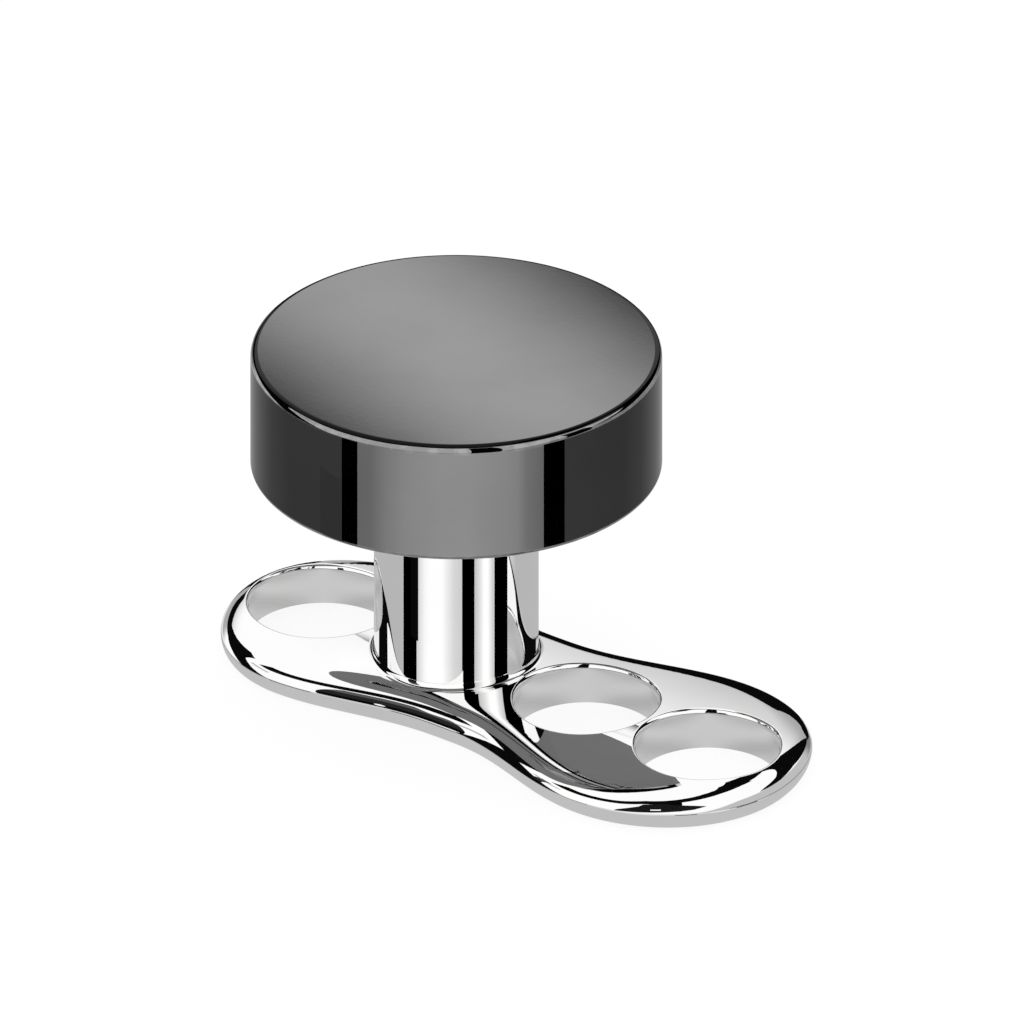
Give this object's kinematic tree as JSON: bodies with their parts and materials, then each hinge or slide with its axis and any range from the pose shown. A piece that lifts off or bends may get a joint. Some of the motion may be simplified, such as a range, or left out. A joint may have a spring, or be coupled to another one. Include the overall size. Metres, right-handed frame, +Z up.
{
  "type": "dermal anchor with flat disc top",
  "caption": "Dermal anchor: pierced foot plate with a short round post, and a flat black disc top on a threaded stud screwed into it.",
  "frame": {"origin": "on the post's axis, at the flat underside of the foot plate", "axes": "+X along the plate towards its two-hole end, +Z up the post, +Y completes the right-handed frame"},
  "size_m": [0.0066, 0.004, 0.0037],
  "materials": {
    "polished_steel": "polished",
    "black_coated_steel": "polished"
  },
  "bodies": {
    "anchor": {"anchor": "polished_steel"},
    "top": {"disc_top": "black_coated_steel"}
  },
  "joints": [
    {"name": "top_lift", "type": "slide", "parent": "anchor", "child": "top", "axis": [0, 0, 1], "range_m": [0, 0.003]}
  ]
}
